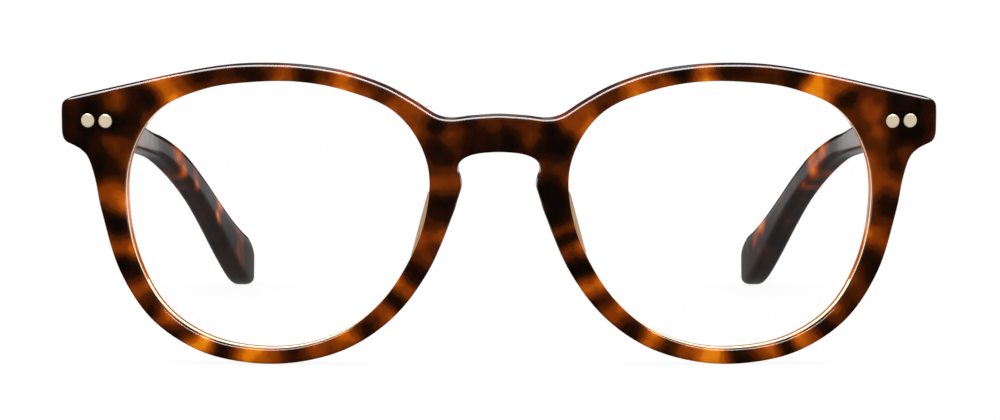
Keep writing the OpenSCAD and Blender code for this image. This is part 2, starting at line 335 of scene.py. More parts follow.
def isInside(p, loop):
    inside = False
    for a, b in zip(loop, loop[1:] + loop[:1]):
        if (a.y > p.y) != (b.y > p.y) and p.x < (b.x - a.x) * (p.y - a.y) / (b.y - a.y) + a.x:
            inside = not inside
    return inside


def gridInside():      # points over the face, clear of both edges
    edge = outer + opening
    tree = KDTree(len(edge))
    for i, p in enumerate(edge):
        tree.insert((p.x, p.y, 0), i)
    tree.balance()
    step = front["gridSpacing"]
    found = []
    for i in range(1, int(max(p.x for p in outer) / step) + 1):
        for k in range(int(min(p.y for p in outer) / step), int(max(p.y for p in outer) / step) + 1):
            p = Vector((i * step, (k + 0.5 * (i % 2)) * step))
            if tree.find((p.x, p.y, 0))[2] > front["gridMargin"] and isInside(p, outer):
                if not isInside(p, opening):
                    found.append(p)
    return found


def fillFace(strips, outerRow, openRow, depthAt, grid):
    middle = [Vector((0, y)) for y in (outerRow[1][-1].y, outerRow[1][0].y)]
    steps = front["middleSteps"]
    cut = [middle[0].lerp(middle[1], k / steps) for k in range(1, steps)]
    cutRow = strips.row([placeOnFront(0, p.y, depthAt(thickness(0))) for p in cut])
    gridRow = strips.row([placeOnFront(p.x, p.y, depthAt(thickness(p.x))) for p in grid])
    border = outerRow[1] + cut
    points = border + openRow[1] + grid
    index = outerRow[0] + cutRow + openRow[0] + gridRow
    n, m = len(border), len(openRow[1])
    edges = [(i, (i + 1) % n) for i in range(n)] + [(n + i, n + (i + 1) % m) for i in range(m)]
    _, _, faces, origin, _, _ = delaunay_2d_cdt(points, edges, [], 0, 1e-6)
    for f in faces:
        ids = [origin[i][0] for i in f]
        if all(i < n for i in ids) or all(n <= i < n + m for i in ids):
            centre = sum((points[i] for i in ids), Vector((0, 0))) / 3
            if isInside(centre, openRow[1]) or not isInside(centre, border):
                continue
        strips.faces.append(tuple(index[i] for i in ids))


def mirrorHalf(obj):      # adds the other half; cleanUp then joins the two and turns the faces outwards
    bm = bmesh.new()
    bm.from_mesh(obj.data)
    copy = bmesh.ops.duplicate(bm, geom=bm.verts[:] + bm.edges[:] + bm.faces[:])["geom"]
    for v in copy:
        if isinstance(v, bmesh.types.BMVert):
            v.co.x = -v.co.x
    bm.to_mesh(obj.data)
    bm.free()


def makeFront(name):
    strips = Strips()
    grid = gridInside()
    profile = [(d, fromFront(w)) for d, w in roundOver(front["roundFront"])]
    profile += [(0, share(s)) for s in front["wallSteps"]]
    profile += [(d, fromBack(w)) for d, w in reversed(roundOver(front["roundBack"]))]
    outerFront, outerBack = sweepEdge(strips, outer, outerIn, profile, False)
    low, high = front["thick"] / 2 - front["grooveWide"] / 2, front["thick"] / 2 + front["grooveWide"] / 2
    profile = [(d, fromFront(w)) for d, w in roundOver(front["openFront"])]
    profile += [(0, fromFront(low)), (front["groove"], fromFront(low)),
                (front["groove"], fromFront(high)), (0, fromFront(high))]
    profile += [(d, fromBack(w)) for d, w in reversed(roundOver(front["openBack"]))]
    openFront, openBack = sweepEdge(strips, opening, openOut, profile, True)
    fillFace(strips, outerFront, openFront, fromFront(0), grid)
    fillFace(strips, outerBack, openBack, fromBack(0), grid)
    obj = newMesh(name, [toTable @ v for v in strips.verts], strips.faces)
    mirrorHalf(obj)
    return cleanUp(obj, 2e-6)


def edgeOfOpening(x, z):      # distance out from the lens opening, on the front surface
    u = (abs(x) - lensX) / math.cos(wrap)
    return math.hypot(u, z) - ringRadius(math.degrees(math.atan2(z, u)))


def markWalls(obj):      # the walls of the openings are left as cut, so they take the second material
    back = toTable.inverted()
    for p in obj.data.polygons:
        c = back @ p.center
        depth = c.y - setBack(c.x)
        lean = depth * (math.tan(wrap) + outerLean(abs(c.x)))
        across = back.to_3x3() @ p.normal
        isWall = abs(across.y) < front["wallFacing"]
        isWall = isWall and front["wallMargin"] < depth < front["thick"] - front["wallMargin"]
        near = abs(edgeOfOpening(abs(c.x) + lean, c.z)) < front["wallNear"]
        p.material_index = 1 if isWall and near else 0


print("front: mesh")
frontPiece = makeFront("acetate_front")

# Frames on one side: the end piece's back, the hinge axis and the temple
hinge = {
    "axisOut": 3.3, "axisBack": 1.65, "high": 5.0, "webReach": 2.9, "rivetPitch": 2.9, "fit": 0.02,
    "plateFrom": -3.2, "plateTo": 4.3, "plateHigh": 2.5, "plateThick": 0.9, "clearOf": 3,
}
rivet = {"headR": 1.08, "flatR": 0.9, "chamfer": 0.12, "deep": 0.7, "proud": 0.05, "ring": 0.1, "sides": 48,
         "sharpAbove": 20, "clearOf": 2}
temple = {
    "mid": 1.4, "thick": 3.6, "tipThick": 4.0, "long": 136.5, "drop": 9.5, "lean": 2.5,
    "corner": 0.75, "tipCorner": 1.35, "cornerFrom": 70, "cornerTo": 110, "cornerMost": 0.98,
    "spacing": 0.8, "around": 7, "flatSteps": 5, "lineSteps": 3, "tipRound": 3.4,
    "tipRows": (2.5, 1.8, 1.3, 1.0, 0.75, 0.5, 0.32, 0.18, 0.08, 0.02),
    "tongue": 1.55, "notch": 1.75, "butt": 0.05, "plateFrom": 1.9, "plateTo": 12.0, "plateHigh": 2.0,
    "rivets": [5, 9], "startsAt": -3.0, "sharpAbove": 40,
}
# The temple's line: along, across, up, half the height
templeLine = [
    (-3, 1.4, -0.25, 3.05), (30, 1.4, -0.12, 2.88), (60, 1.4, -0.4, 2.4), (80, 1, -0.9, 2),
    (88, -0.5, -1.7, 2.05), (96, -3.05, -4.4, 2.4), (104, -5.4, -8.25, 2.55), (112, -7.3, -12.4, 2.95),
    (120, -9.15, -16.65, 3.65), (126, -10.5, -19.4, 4.25), (130, -11.2, -20.6, 4.45),
    (133, -11.55, -21.45, 3.75), (135.3, -11.8, -22.3, 2.5), (136.5, -11.9, -23.1, 0)]
atEndPiece = Matrix.Translation((front["hingeX"], setBack(front["hingeX"]), front["hingeZ"]))
atEndPiece = atEndPiece @ turnZ(math.degrees(endAngle))
axisPlace = atEndPiece @ Vector((hinge["axisOut"], front["thick"] + hinge["axisBack"], 0))
atAxis = Matrix.Translation(axisPlace) @ turnZ(temple["lean"])
atTemple = atAxis @ turnX(-temple["drop"])
frontRivets = [atEndPiece @ Matrix.Translation((k * hinge["rivetPitch"], 0, 0)) for k in (-0.5, 0.5)]

print("front: rivet holes and hinge seats")
cutters = []
gap = hinge["fit"]
for side in (1, -1):
    for place in frontRivets:
        cutters.append(drillCutter(rivet["headR"] + rivet["ring"], rivet["deep"], onSide(side, place)))
    cutters.append(boxCutter(
        (hinge["plateFrom"] - gap, front["thick"] - hinge["plateThick"] - gap, -hinge["plateHigh"] - gap),
        (hinge["plateTo"] + gap, front["thick"] + hinge["clearOf"], hinge["plateHigh"] + gap),
        onSide(side, atEndPiece)))
carve(frontPiece, cutters)
smoothByAngle(frontPiece, front["sharpAbove"])
markWalls(frontPiece)

# Temples: rounded sections set along the line of stations
print("temples")


def templeThick(y):
    return temple["thick"] + (temple["tipThick"] - temple["thick"]) * max(0, y) / temple["long"]


stations = curve(templeLine, temple["lineSteps"])      # straight between them, as in the solids


def templeAt(y):
    for a, b in zip(stations, stations[1:]):
        if y <= b[0]:
            return a.lerp(b, (y - a[0]) / (b[0] - a[0]))
    return stations[-1]


def templeSection(y):
    across, up, high = templeAt(y).yzw
    half = templeThick(y) / 2
    left = temple["long"] - y
    if left < temple["tipRound"]:
        f = 1 - left / temple["tipRound"]
        half *= math.sqrt(max(0, 1 - f * f))
    toTip = smooth(temple["cornerFrom"], temple["cornerTo"], y)
    r = temple["corner"] + (temple["tipCorner"] - temple["corner"]) * toTip
    r = min(r, half * temple["cornerMost"], high * temple["cornerMost"])
    points = []
    for cx, cz, start in ((1, 1, 0), (-1, 1, 90), (-1, -1, 180), (1, -1, 270)):
        for k in range(temple["around"] + 1):
            a = math.radians(start + 90 * k / temple["around"])
            points.append(Vector((across + cx * (half - r) + r * math.cos(a), y,
                                  up + cz * (high - r) + r * math.sin(a))))
    full = []
    for i, p in enumerate(points):
        full.append(p)
        if (i + 1) % (temple["around"] + 1) == 0:
            q = points[(i + 1) % len(points)]
            full += [p.lerp(q, k / temple["flatSteps"]) for k in range(1, temple["flatSteps"])]
    return full


def makeTemple(side, name):
    count = int((temple["long"] - temple["tipRows"][0] - temple["startsAt"]) / temple["spacing"])
    ys = [temple["startsAt"] + temple["spacing"] * k for k in range(count)]
    ys += [temple["long"] - d for d in temple["tipRows"]]
    strips = Strips()
    m = onSide(side, atTemple)
    rows = [strips.row([m @ p for p in templeSection(y)]) for y in ys]
    for a, b in zip(rows, rows[1:]):
        strips.join(a, b)
    strips.faces.append(tuple(rows[0]))
    tip = templeAt(temple["long"])
    strips.close(rows[-1], m @ Vector((tip.y, temple["long"], tip.z)))
    obj = cleanUp(newMesh(name, strips.verts, strips.faces), 1e-7)
    inner = temple["mid"] - temple["thick"] / 2
    past, far = 1, 40      # how far a cutter runs past the face it cuts, and past the whole piece
    faceAt = front["thick"] + temple["butt"]
    cutters = [
        boxCutter((-far, faceAt - 2 * far, -far), (far, faceAt, far), onSide(side, atEndPiece)),
        boxCutter((temple["tongue"] - 2 * far, temple["notch"] - 2 * far, -far),
                  (temple["tongue"], temple["notch"], far), onSide(side, atAxis)),
        boxCutter((inner - past, temple["plateFrom"] - gap, -temple["plateHigh"] - gap),
                  (inner + hinge["plateThick"] + gap, temple["plateTo"] + gap, temple["plateHigh"] + gap),
                  onSide(side, atTemple)),
        boxCutter((inner - past, 0, -hinge["high"] / 2 - gap),
                  (inner + hinge["plateThick"] + gap, hinge["webReach"] + gap, hinge["high"] / 2 + gap),
                  onSide(side, atAxis)),
    ]
    for place in templeRivets:
        cutters.append(drillCutter(rivet["headR"] + rivet["ring"], rivet["deep"], onSide(side, place)))
    carve(obj, cutters)
    smoothByAngle(obj, temple["sharpAbove"])
    return obj


# A rivet's own -Y looks outwards
templeRivets = [atTemple @ Matrix.Translation((temple["mid"] + templeThick(y) / 2, y, 0)) @ turnZ(90)
                for y in temple["rivets"]]
words = {1: "left", -1: "right"}
templePieces = {side: makeTemple(side, "acetate_temple_" + words[side]) for side in words}

# Lenses: two round faces and a bevel ground to fit the groove. Its rows are shares of its width and height
print("lenses")
lens = {
    "thick": 1.8, "curveR": 132.0, "rise": 1.62, "gap": 0.05, "rings": 26, "samples": 240, "sharpAbove": 25,
    "bevel": 0.45, "bevelWide": 0.9, "bevelRows": ((-0.5, 0), (-0.15, 1), (0.15, 1), (0.5, 0)),
    "ground": 0.3, "groundFacing": 0.93, "ior": 1.5, "mirror": 0.25, "gloss": 0.02,
    "grit": 2500.0, "edgeRough": 0.6, "edgeRoughPart": 0.2, "edgeGlow": 0.6,
}


def surfaceDepth(u):      # how far the front's surface lies behind the lens's own plane
    return (setBack(frontX(u)) - setBack(lensX) - u * math.sin(wrap)) / math.cos(wrap)


def makeLens(side, name):
    strips = Strips()
    apex = front["thick"] / 2 - lens["thick"] / 2 - lens["rise"]
    backR = lens["curveR"] - lens["thick"]
    m = onSide(side, Matrix.Translation((lensX, setBack(lensX), 0)) @ turnZ(front["wrap"]))
    angles = [360 * k / lens["samples"] for k in range(lens["samples"])]
    edge = [ringRadius(a) - lens["gap"] for a in angles]

    def ring(radii, depthAt):      # leans as the wall of the opening does
        points = []
        for a, r in zip(angles, radii):
            u, v = r * math.cos(math.radians(a)), r * math.sin(math.radians(a))
            depth = depthAt(u, r)
            lean = outerLean(lensX + u) * (depth - surfaceDepth(u))
            points.append(m @ Vector((u - lean, depth, v)))
        return strips.row(points)

    def ball(radius, start):
        return lambda u, r: start + radius - math.sqrt(radius * radius - r * r)

    def inGroove(shift):
        return lambda u, r: surfaceDepth(u) + front["thick"] / 2 + shift

    shares = [k / lens["rings"] for k in range(1, lens["rings"] + 1)]
    rows = [ring([r * s for r in edge], ball(lens["curveR"], apex)) for s in shares]
    for shift, reach in lens["bevelRows"]:
        rows.append(ring([r + lens["bevel"] * reach for r in edge], inGroove(shift * lens["bevelWide"])))
    rows += [ring([r * s for r in edge], ball(backR, apex + lens["thick"])) for s in reversed(shares)]
    for a, b in zip(rows, rows[1:]):
        strips.join(a, b)
    strips.close(rows[0], m @ Vector((0, apex, 0)))
    strips.close(rows[-1], m @ Vector((0, apex + lens["thick"], 0)))
    obj = cleanUp(newMesh(name, strips.verts, strips.faces), 1e-8)
    smoothByAngle(obj, lens["sharpAbove"])
    back = m.inverted()
    for p in obj.data.polygons:      # the front of the ground edge takes the second material
        c, across = back @ p.center, (back.to_3x3() @ p.normal).normalized()
        isEdge = abs(across.y) < lens["groundFacing"]
        isFront = c.y - surfaceDepth(c.x) < front["thick"] / 2 + lens["ground"]
        p.material_index = 1 if isEdge and isFront else 0
    return obj


lensPieces = {side: makeLens(side, "clear_lens_" + words[side]) for side in words}

# Nose pads: a smooth wing round four balls, seated on the back of the rim
print("nose pads")
pad = {
    "balls": [(8.5, 4.4, 3.4, 1.7), (12.6, 4.4, -7.4, 1.4), (9.9, 7.4, 2.2, 1.5), (12, 7.4, -6.6, 1.35)],
    "voxel": 0.16, "smoothing": 12, "soften": 0.5, "ballSides": 32, "sharpAbove": 50, "seat": 0.01,
    "cloud": 260.0, "rough": 0.2, "roughPart": 0.1, "clear": 0.2, "ior": 1.46,
}


def makePad(side, name):
    balls, hull = bmesh.new(), bmesh.new()
    for x, y, z, r in pad["balls"]:
        bmesh.ops.create_uvsphere(balls, u_segments=pad["ballSides"], v_segments=pad["ballSides"] // 2,
                                  radius=r, matrix=Matrix.Translation((x, y, z)))
    for v in balls.verts:
        hull.verts.new(v.co)
    bmesh.ops.convex_hull(hull, input=hull.verts[:])
    bmesh.ops.delete(hull, geom=[v for v in hull.verts if not v.link_faces], context="VERTS")
    obj = newMesh(name, [], [])
    hull.to_mesh(obj.data)
    balls.free()
    hull.free()
    remesh = obj.modifiers.new("remesh", "REMESH")
    remesh.mode = "VOXEL"
    remesh.voxel_size = pad["voxel"]
    soften = obj.modifiers.new("soften", "SMOOTH")
    soften.iterations = pad["smoothing"]
    soften.factor = pad["soften"]
    settle(obj)
    for v in obj.data.vertices:
        v.co.y = max(v.co.y, setBack(v.co.x) + front["thick"] + pad["seat"])
        v.co = onSide(side) @ v.co
    cleanUp(obj, 1e-7)
    smoothByAngle(obj, pad["sharpAbove"])
    return obj


padPieces = {side: makePad(side, "nose_pad_wing_" + words[side]) for side in words}

# Rivet heads: one node tree sets a chamfered head on each point, turned the way the point faces
print("rivets")


def rivetTree(material):
    tree = bpy.data.node_groups.new("rivet_heads", "GeometryNodeTree")
    tree.interface.new_socket("Geometry", in_out="INPUT", socket_type="NodeSocketGeometry")
    for name, kind in (("Head Radius", "Float"), ("Flat Radius", "Float"), ("Chamfer", "Float"),
                       ("Length", "Float"), ("Sides", "Int"), ("Metal", "Material")):
        tree.interface.new_socket(name, in_out="INPUT", socket_type="NodeSocket" + kind)
    tree.interface.new_socket("Geometry", in_out="OUTPUT", socket_type="NodeSocketGeometry")
    given = tree.nodes.new("NodeGroupInput").outputs

    def node(kind, settings, sockets):
        made = tree.nodes.new(kind)
        for key, value in settings.items():
            setattr(made, key, value)
        for key, value in sockets.items():
            if isinstance(value, bpy.types.NodeSocket):
                tree.links.new(value, made.inputs[key])
            else:
                made.inputs[key].default_value = value
        return made.outputs

    rod = node("GeometryNodeMeshCylinder", {"fill_type": "NGON"},
               {"Vertices": given["Sides"], "Radius": given["Head Radius"], "Depth": given["Length"]})
    half = node("ShaderNodeMath", {"operation": "MULTIPLY"}, {0: given["Length"], 1: -0.5})[0]
    drop = node("ShaderNodeMath", {"operation": "SUBTRACT"}, {0: half, 1: given["Chamfer"]})[0]
    down = node("ShaderNodeCombineXYZ", {}, {"Z": drop})[0]
    lowered = node("GeometryNodeTransform", {}, {"Geometry": rod["Mesh"], "Translation": down})[0]
    raised = node("GeometryNodeExtrudeMesh", {}, {"Mesh": lowered, "Selection": rod["Top"],
                                                  "Offset Scale": given["Chamfer"]})
    part = node("ShaderNodeMath", {"operation": "DIVIDE"},
                {0: given["Flat Radius"], 1: given["Head Radius"]})[0]
    head = node("GeometryNodeScaleElements", {}, {"Geometry": raised["Mesh"], "Selection": raised["Top"],
                                                  "Scale": part})[0]
    facing = node("GeometryNodeInputNamedAttribute", {"data_type": "FLOAT_VECTOR"}, {"Name": "facing"})[0]
    turn = node("FunctionNodeAlignRotationToVector", {"axis": "Z"}, {"Vector": facing})[0]
    heads = node("GeometryNodeInstanceOnPoints", {}, {"Points": given["Geometry"], "Instance": head,
                                                      "Rotation": turn})[0]
    real = node("GeometryNodeRealizeInstances", {}, {"Geometry": heads})[0]
    done = node("GeometryNodeSetMaterial", {}, {"Geometry": real, "Material": given["Metal"]})[0]
    out = tree.nodes.new("NodeGroupOutput")
    tree.links.new(done, out.inputs[0])
    return tree


def makeRivets(name, tree, places, material):
    obj = newMesh(name, [m @ Vector((0, -rivet["proud"], 0)) for m in places], [])
    facing = obj.data.attributes.new("facing", "FLOAT_VECTOR", "POINT")
    for item, m in zip(facing.data, places):
        item.vector = (m.to_3x3() @ Vector((0, -1, 0))).normalized()
    mod = obj.modifiers.new("heads", "NODES")
    mod.node_group = tree
    sizes = {"Head Radius": rivet["headR"] * mm, "Flat Radius": rivet["flatR"] * mm,
             "Chamfer": rivet["chamfer"] * mm, "Length": (rivet["deep"] - rivet["chamfer"]) * mm,
             "Sides": rivet["sides"], "Metal": material}
    for item in tree.interface.items_tree:
        if item.in_out == "INPUT" and item.name in sizes:
            mod[item.identifier] = sizes[item.name]
    settle(obj)
    smoothByAngle(obj, rivet["sharpAbove"])
    return obj


# Materials. A sum, difference or product that holds a socket adds its Math node
class Socket:
    def __init__(self, paint, out):
        self.paint, self.out = paint, out

    def join(self, operation, a, b):
        return self.paint.node("ShaderNodeMath", {"operation": operation}, {0: a, 1: b})

    def __add__(self, other):
        return self.join("ADD", self, other)

    def __radd__(self, other):
        return self.join("ADD", other, self)

    def __sub__(self, other):
        return self.join("SUBTRACT", self, other)

    def __rsub__(self, other):
        return self.join("SUBTRACT", other, self)

    def __mul__(self, other):
        return self.join("MULTIPLY", self, other)

    def __rmul__(self, other):
        return self.join("MULTIPLY", other, self)


class Paint:      # one node tree, of a material or the world
    def __init__(self, tree):
        self.tree = tree
        tree.nodes.clear()

    def node(self, kind, settings=None, sockets=None, out=0):
        made = self.tree.nodes.new(kind)
        for key, value in (settings or {}).items():
            if key == "stops":
                band = made.color_ramp
                band.interpolation = "EASE"
                while len(band.elements) < len(value):
                    band.elements.new(1)
                for element, (place, colour) in zip(band.elements, value):
                    element.position = place
                    element.color = colour
            else:
                setattr(made, key, value)
        for key, value in (sockets or {}).items():
            if isinstance(value, Socket):
                self.tree.links.new(value.out, made.inputs[key])
            else:
                made.inputs[key].default_value = value
        return Socket(self, made.outputs[out]) if len(made.outputs) else made

    def objectPlace(self):
        return self.node("ShaderNodeTexCoord", out="Object")

    def noise(self, place, scale, detail=2.0):
        return self.node("ShaderNodeTexNoise", None, {"Vector": place, "Scale": scale, "Detail": detail})

    def blend(self, part, a, b):      # of two colours
        return self.node("ShaderNodeMix", {"data_type": "RGBA"}, {"Factor": part, 6: a, 7: b}, out=2)

    def ramp(self, value, start, end, low, high):      # eases from low to high between start and end
        return self.node("ShaderNodeMapRange", {"interpolation_type": "SMOOTHSTEP"}, {
            "Value": value, "From Min": start, "From Max": end, "To Min": low, "To Max": high})


def rgb(r, g, b):      # screen values of 0 to 255, as linear light
    def linear(c):
        c /= 255
        return c / 12.92 if c <= 0.04045 else ((c + 0.055) / 1.055) ** 2.4
    return (linear(r), linear(g), linear(b), 1)


def newPaint(name):
    material = bpy.data.materials.new(name)
    material.use_nodes = True
    return material, Paint(material.node_tree)


print("materials")
acetate = {
    "stops": [(0, rgb(17, 9, 5)), (0.16, rgb(40, 15, 4)), (0.32, rgb(84, 32, 2)), (0.5, rgb(142, 58, 0)),
              (0.66, rgb(198, 92, 0)), (0.8, rgb(250, 138, 0)), (1, rgb(255, 200, 80))],
    "span": 1.25, "cloud": 190.0, "cloudPart": 0.36, "fleck": 620.0, "fleckPart": 0.16,
    "rough": 0.1, "shine": 0.5, "cutRough": 0.6, "cutShine": 0.1, "roughPart": 0.06,
    "polish": 900.0, "polishDepth": 0.004, "polishPart": 0.3, "ior": 1.48,
}


def acetatePaint(name, polished=True):      # reads how light the shell is from the mesh's own tone, which on the front also holds painted light at the openings
    material, paint = newPaint(name)
    place = paint.objectPlace()
    tone = paint.node("ShaderNodeAttribute", {"attribute_name": "tone"}, out="Fac")
    cloud = paint.noise(place, acetate["cloud"])
    fleck = paint.noise(place, acetate["fleck"], 3.0)
    level = tone + (cloud - 0.5) * acetate["cloudPart"] + (fleck - 0.5) * acetate["fleckPart"]
    colour = paint.node("ShaderNodeValToRGB", {"stops": acetate["stops"]},
                        {"Fac": level * (1 / acetate["span"])})
    rough = acetate["rough" if polished else "cutRough"] + fleck * acetate["roughPart"]
    marks = paint.noise(place, acetate["polish"], 3.0)
    bump = paint.node("ShaderNodeBump", None, {"Height": marks, "Strength": acetate["polishPart"],
                                               "Distance": acetate["polishDepth"] * mm})
    shader = paint.node("ShaderNodeBsdfPrincipled", None, {
        "Base Color": colour, "Roughness": rough, "IOR": acetate["ior"], "Normal": bump,
        "Specular IOR Level": acetate["shine" if polished else "cutShine"]})
    paint.node("ShaderNodeOutputMaterial", None, {"Surface": shader})
    return material


metal = {"scratches": 1400.0, "squeeze": (1, 1, 6), "stain": 280.0, "stained": 0.86, "bump": 0.25,
         "depth": 0.01, "roughPart": 0.12}


def darker(colour, part):
    return tuple(c * part for c in colour[:3]) + (1,)


def metalPaint(name, colour, rough, metallic=1.0):
    material, paint = newPaint(name)
    place = paint.objectPlace()
    along = paint.node("ShaderNodeMapping", None, {"Vector": place, "Scale": metal["squeeze"]})
    lines = paint.noise(along, metal["scratches"], 4.0)
    stain = paint.noise(place, metal["stain"])
    shade = paint.blend(stain, colour, darker(colour, metal["stained"]))
    bump = paint.node("ShaderNodeBump", None, {"Height": lines, "Strength": metal["bump"],
                                               "Distance": metal["depth"] * mm})
    shader = paint.node("ShaderNodeBsdfPrincipled", None, {
        "Base Color": shade, "Metallic": metallic, "Roughness": rough + lines * metal["roughPart"],
        "Normal": bump})
    paint.node("ShaderNodeOutputMaterial", None, {"Surface": shader})
    return material


def lensPaint():      # coated on both faces, so it mirrors little
    material, paint = newPaint("coated_clear_lens")
    fresnel = paint.node("ShaderNodeFresnel", None, {"IOR": lens["ior"]})
    clear = paint.node("ShaderNodeBsdfTransparent")
    mirror = paint.node("ShaderNodeBsdfGlossy", None, {"Roughness": lens["gloss"]})
    shader = paint.node("ShaderNodeMixShader", None, {0: fresnel * lens["mirror"], 1: clear, 2: mirror})
    paint.node("ShaderNodeOutputMaterial", None, {"Surface": shader})
    return material


def bevelPaint():      # painted light: the ground edge glows a little, standing in for light piped through the lens that leaves by its edge
    material, paint = newPaint("ground_lens_edge")
    place = paint.objectPlace()
    grit = paint.noise(place, lens["grit"], 3.0)
    shade = paint.blend(grit, rgb(255, 242, 216), rgb(242, 218, 180))
    shader = paint.node("ShaderNodeBsdfPrincipled", None, {
        "Base Color": shade, "Roughness": lens["edgeRough"] + grit * lens["edgeRoughPart"],
        "Emission Color": shade, "Emission Strength": lens["edgeGlow"]})
    paint.node("ShaderNodeOutputMaterial", None, {"Surface": shader})
    return material


def padPaint():
    material, paint = newPaint("tan_pad_resin")
    place = paint.objectPlace()
    cloud = paint.noise(place, pad["cloud"])
    shade = paint.blend(cloud, rgb(248, 216, 176), rgb(226, 178, 128))
    shader = paint.node("ShaderNodeBsdfPrincipled", None, {
        "Base Color": shade, "Roughness": pad["rough"] + cloud * pad["roughPart"],
        "Transmission Weight": pad["clear"], "IOR": pad["ior"]})
    paint.node("ShaderNodeOutputMaterial", None, {"Surface": shader})
    return material


# Tortoiseshell: amber and dark bars round each rim, by angle from the lens centre (0 outwards, 90 up),
# and patches on the bridge, end pieces and temples. 0 is near black, 1 the brightest amber
rimBars = {
    -1: [(5, 0.75), (16, 0.15), (22, 0.45), (30, 0.3), (36, 0.5), (42, 0.2), (51, 0.85), (61, 0.25),
         (67, 0.38), (81, 0.08), (93, 0.55), (103, 0.08), (110, 0.4), (119, 0.85), (130, 0.3), (137, 0.55),
         (146, 0.6), (155, 0.3), (161, 0.25), (168, 0.6), (177, 0.05), (187, 0.6), (193, 0.4), (201, 0.08),
         (209, 0.7), (216, 0.15), (223, 0.6), (232, 0.2), (240, 0.75), (247, 0.45), (254, 0.65), (260, 0.3),
         (272, 0.6), (280, 0.88), (291, 0.1), (301, 1), (310, 0.15), (317, 0.65), (323, 0.15), (330, 0.6),
         (340, 0.1), (348, 0.65), (356, 0.15)],
    1: [(1, 0.12), (12, 0.6), (17, 0.5), (26, 0.5), (34, 0.5), (42, 0.1), (48, 0.75), (54, 0.9),
        (61, 0.1), (74, 0.28), (86, 0.12), (95, 0.8), (108, 0.15), (115, 0.6), (122, 0.75), (132, 0.4),
        (141, 0.2), (148, 0.6), (160, 0.15), (167, 0.45), (175, 0.08), (180, 0.08), (184, 0.4), (188, 0.15),
        (193, 0.55), (200, 0.08), (208, 0.8), (214, 0.3), (221, 0.6), (232, 0.2), (240, 0.9), (249, 0.1),
        (256, 0.6), (268, 1), (279, 0.1), (289, 0.65), (296, 0.15), (304, 0.8), (311, 0.15), (318, 0.42),
        (325, 0.15), (333, 0.42), (343, 0.1), (352, 0.6)],
}
# Patches on the front: across from the middle, up, size, tone
frontPatches = {
    -1: [(62, 14.5, 5.5, 0.02), (60.2, 17.8, 2.2, 0.5), (63.9, 11.2, 2.6, 0.08), (60.9, 10.5, 2, 0.5),
         (62.8, 8, 2.6, 0.12), (9.6, 13.9, 1.6, 0), (11.5, 12.2, 1.6, 0.4), (8.8, 9.7, 2.2, 0.08),
         (6.8, 12.1, 2.2, 0.5), (2.2, 11.5, 2.6, 0.12), (0.8, 14.6, 1.8, 0.35), (4, 14.6, 1.6, 0.3)],
    1: [(63.4, 14.6, 5.5, 0.02), (57.5, 16.3, 2.3, 0.5), (59.1, 18.2, 2, 0.55), (59.1, 12.3, 1.9, 0.45),
        (60.3, 7.7, 2.1, 0.5), (62.5, 7.2, 1.8, 0.2), (1, 11.2, 2.3, 0.06), (6, 12.1, 2.2, 0.4),
        (6.9, 10.6, 1.6, 0.1), (8.3, 13.7, 1.5, 0.05), (13.3, 15.7, 2.3, 0.55), (9.7, 10.7, 2.4, 0.06),
        (9.1, 6.1, 1.9, 0.42), (8, 3.2, 2.8, 0.03), (3, 14.6, 2, 0.35)],
}
shell = {
    "wander": 4.0, "wanderSize": 5.0, "blot": 0.22, "blotSize": 3.2, "patchPull": 1.3, "least": -0.1,
    # the wall and edge entries paint light onto the tone: a glow on the wall behind the lens and at the
    # opening's edge
    "wallGlowTone": 1.1, "wallPart": 0.8, "wallFrom": 2, "wallFull": 2.6, "wallEdge": 0.1, "wallReach": 0.35,
    "edgeGlowTone": 0.12, "edgeReach": 1.1,
    "templeBase": 0.12, "templeBlot": 0.2, "templeBlotSize": 4, "templeFineSize": 2, "templeApart": 9,
    "templeStretch": 0.8,
}


def barTone(stops, angle):
    angle %= 360
    ring = [(stops[-1][0] - 360, stops[-1][1])] + stops + [(stops[0][0] + 360, stops[0][1])]
    for (a, low), (b, high) in zip(ring, ring[1:]):
        if angle <= b:
            return low + (high - low) * smooth(a, b, angle)


def patched(tone, spots, distanceTo):
    for *place, size, target in spots:
        weight = math.exp(-(distanceTo(*place) / size) ** 2)
        tone += (target - tone) * min(1, shell["patchPull"] * weight)
    return tone


def frontTone(point):
    side = 1 if point.x > 0 else -1
    x, z = abs(point.x), point.z
    drift = Vector((point.x, z, 0)) / shell["wanderSize"]
    angle = math.degrees(math.atan2(z, x - lensX)) + shell["wander"] * noise.noise(drift)
    tone = barTone(rimBars[side], angle)
    tone = patched(tone, frontPatches[side], lambda px, pz: math.hypot(x - px, z - pz))
    tone += shell["blot"] * noise.noise(point / shell["blotSize"])
    # painted light: the tone is raised at the edge of the opening, most of all on its thin wall behind the
    # lens, where light gathers
    edge = edgeOfOpening(x, z)
    tone += shell["edgeGlowTone"] * (1 - smooth(0, shell["edgeReach"], edge))
    glow = smooth(shell["wallFrom"], shell["wallFull"], point.y - setBack(x))
    glow *= 1 - smooth(shell["wallEdge"], shell["wallReach"], edge)
    return tone + (shell["wallGlowTone"] - tone) * shell["wallPart"] * glow


